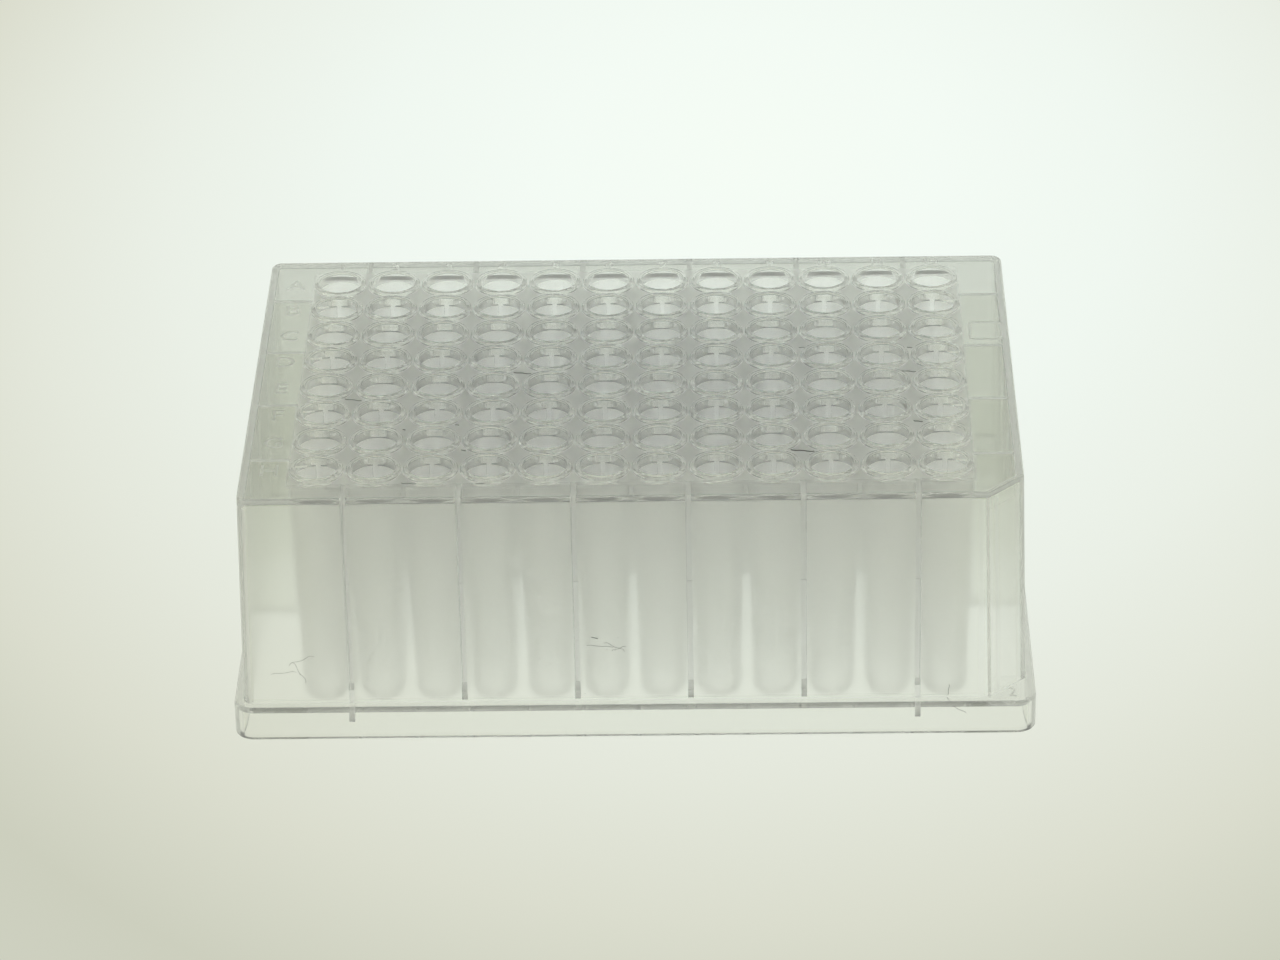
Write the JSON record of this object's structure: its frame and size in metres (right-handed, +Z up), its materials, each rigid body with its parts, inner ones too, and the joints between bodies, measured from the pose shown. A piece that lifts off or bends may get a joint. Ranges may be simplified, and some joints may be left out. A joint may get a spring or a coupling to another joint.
{
  "type": "deep-well plate",
  "caption": "Clear moulded deep-well plate with round-bottomed sample wells in a grid, on a skirted base.",
  "frame": {"origin": "middle of the base, on the plane that the skirt stands on", "axes": "+X along the columns from 1 to 12, +Y along the rows from H to A, +Z up through the well mouths"},
  "size_m": [0.1278, 0.0854, 0.0435],
  "materials": {
    "clear_plastic": "natural translucent polypropylene, smooth from the mould, satin"
  },
  "bodies": {
    "root": {"well_plate": "clear_plastic"}
  },
  "joints": []
}
